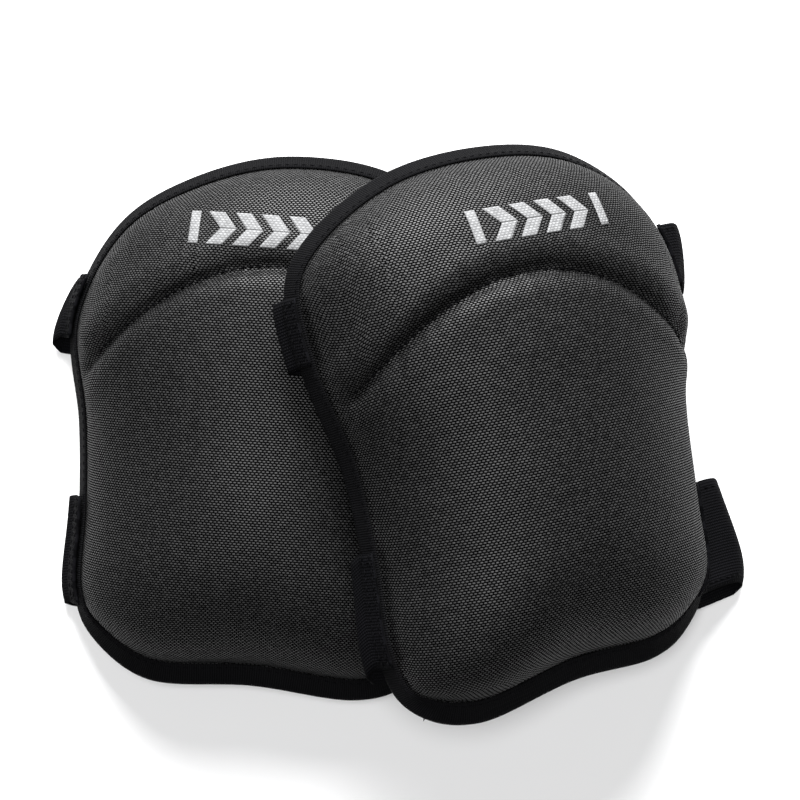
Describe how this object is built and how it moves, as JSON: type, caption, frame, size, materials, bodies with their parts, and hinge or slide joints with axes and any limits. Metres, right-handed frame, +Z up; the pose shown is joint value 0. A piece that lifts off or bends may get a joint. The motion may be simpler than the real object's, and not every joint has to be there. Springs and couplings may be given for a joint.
{
  "type": "knee pads",
  "caption": "Soft padded fabric knee pads, left and right, with moulded foam cups, bound edges, an arched quilted seam and hook-and-loop straps.",
  "frame": {"origin": "middle of the pair's footprint, on the surface that the pads lie on", "axes": "+X across both pads, from the rear pad to the front pad; +Y towards their thigh ends; +Z up from the surface"},
  "size_m": [0.3232, 0.2552, 0.1058],
  "materials": {
    "cover_fabric": "matte",
    "foam": "matte",
    "lining_fabric": "matte",
    "binding_tape": "matte",
    "webbing": "matte",
    "hook_tape": "matte",
    "loop_tape": "matte",
    "thread": "matte",
    "woven_label": "matte"
  },
  "bodies": {
    "rear_pad": {"rear_thigh_panel": "cover_fabric", "rear_knee_panel": "cover_fabric", "rear_thigh_foam": "foam", "rear_knee_foam": "foam", "rear_inner_lining": "lining_fabric", "rear_edge_binding": "binding_tape", "rear_arch_thread": "thread", "rear_label": "woven_label", "rear_upper_strap_root": "webbing", "rear_upper_strap_tab": "webbing", "rear_upper_loop_patch": "loop_tape", "rear_lower_strap_root": "webbing", "rear_lower_strap_tab": "webbing", "rear_lower_loop_patch": "loop_tape"},
    "front_pad": {"front_thigh_panel": "cover_fabric", "front_knee_panel": "cover_fabric", "front_thigh_foam": "foam", "front_knee_foam": "foam", "front_inner_lining": "lining_fabric", "front_edge_binding": "binding_tape", "front_arch_thread": "thread", "front_label": "woven_label", "front_upper_strap_root": "webbing", "front_upper_strap_tab": "webbing", "front_upper_loop_patch": "loop_tape", "front_lower_strap_root": "webbing", "front_lower_strap_tab": "webbing", "front_lower_loop_patch": "loop_tape"},
    "rear_upper_tail": {"rear_upper_strap_tail": "webbing", "rear_upper_hook_patch": "hook_tape"},
    "rear_lower_tail": {"rear_lower_strap_tail": "webbing", "rear_lower_hook_patch": "hook_tape"},
    "front_upper_tail": {"front_upper_strap_tail": "webbing", "front_upper_hook_patch": "hook_tape"},
    "front_lower_tail": {"front_lower_strap_tail": "webbing", "front_lower_hook_patch": "hook_tape"}
  },
  "joints": [
    {"name": "front_pad_lift_off", "type": "slide", "parent": "rear_pad", "child": "front_pad", "axis": [0, 0, 1], "range_m": [0, 0.12]},
    {"name": "rear_upper_strap_opening", "type": "hinge", "parent": "rear_pad", "child": "rear_upper_tail", "pos_m": [0.01975, 0.03328, 0], "axis": [-0.0785, -0.9969, 0], "range_deg": [0, 90]},
    {"name": "rear_lower_strap_opening", "type": "hinge", "parent": "rear_pad", "child": "rear_lower_tail", "pos_m": [0.01144, -0.0724, 0], "axis": [-0.0785, -0.9969, 0], "range_deg": [0, 90]},
    {"name": "front_upper_strap_opening", "type": "hinge", "parent": "front_pad", "child": "front_upper_tail", "pos_m": [0.10805, 0.0673, 0.00968], "axis": [0.1908, -0.9816, 0], "range_deg": [0, 90]},
    {"name": "front_lower_strap_opening", "type": "hinge", "parent": "front_pad", "child": "front_lower_tail", "pos_m": [0.13285, -0.06031, 0.00968], "axis": [0.1908, -0.9816, 0], "range_deg": [0, 90]}
  ]
}
